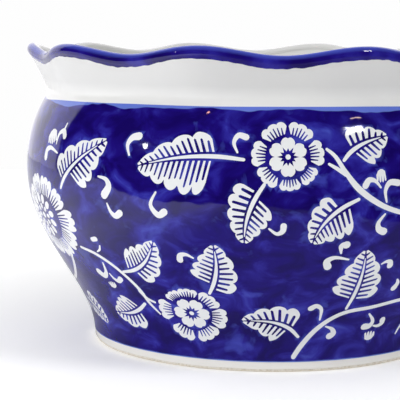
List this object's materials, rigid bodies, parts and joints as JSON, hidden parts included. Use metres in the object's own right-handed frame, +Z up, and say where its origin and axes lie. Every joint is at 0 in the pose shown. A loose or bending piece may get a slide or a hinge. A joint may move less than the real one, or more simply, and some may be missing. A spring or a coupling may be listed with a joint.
{
  "type": "porcelain serving bowl",
  "caption": "Round footed porcelain bowl with a swelling belly, drawn-in neck, flared white collar and ruffled rolled rim, painted in cobalt with reserved white flowers and leaves.",
  "frame": {"origin": "middle of the circle that the foot stands on", "axes": "+Z up along the bowl's axis; a trough of the rim faces -Y, the front"},
  "size_m": [0.248, 0.248, 0.1526],
  "materials": {
    "bisque": "matte",
    "foot_glaze": "satin",
    "white_glaze": "gloss",
    "cobalt_glaze": "gloss"
  },
  "bodies": {
    "root": {"foot_ring": "bisque", "base_floor": "bisque", "belly_wall": "bisque", "collar_wall": "bisque", "rim_roll": "bisque", "foot_glaze": "foot_glaze", "underside_glaze": "white_glaze", "collar_glaze": "white_glaze", "inner_glaze": "white_glaze", "lip_glaze": "white_glaze", "belly_cobalt": "cobalt_glaze", "rim_cobalt": "cobalt_glaze"}
  },
  "joints": []
}
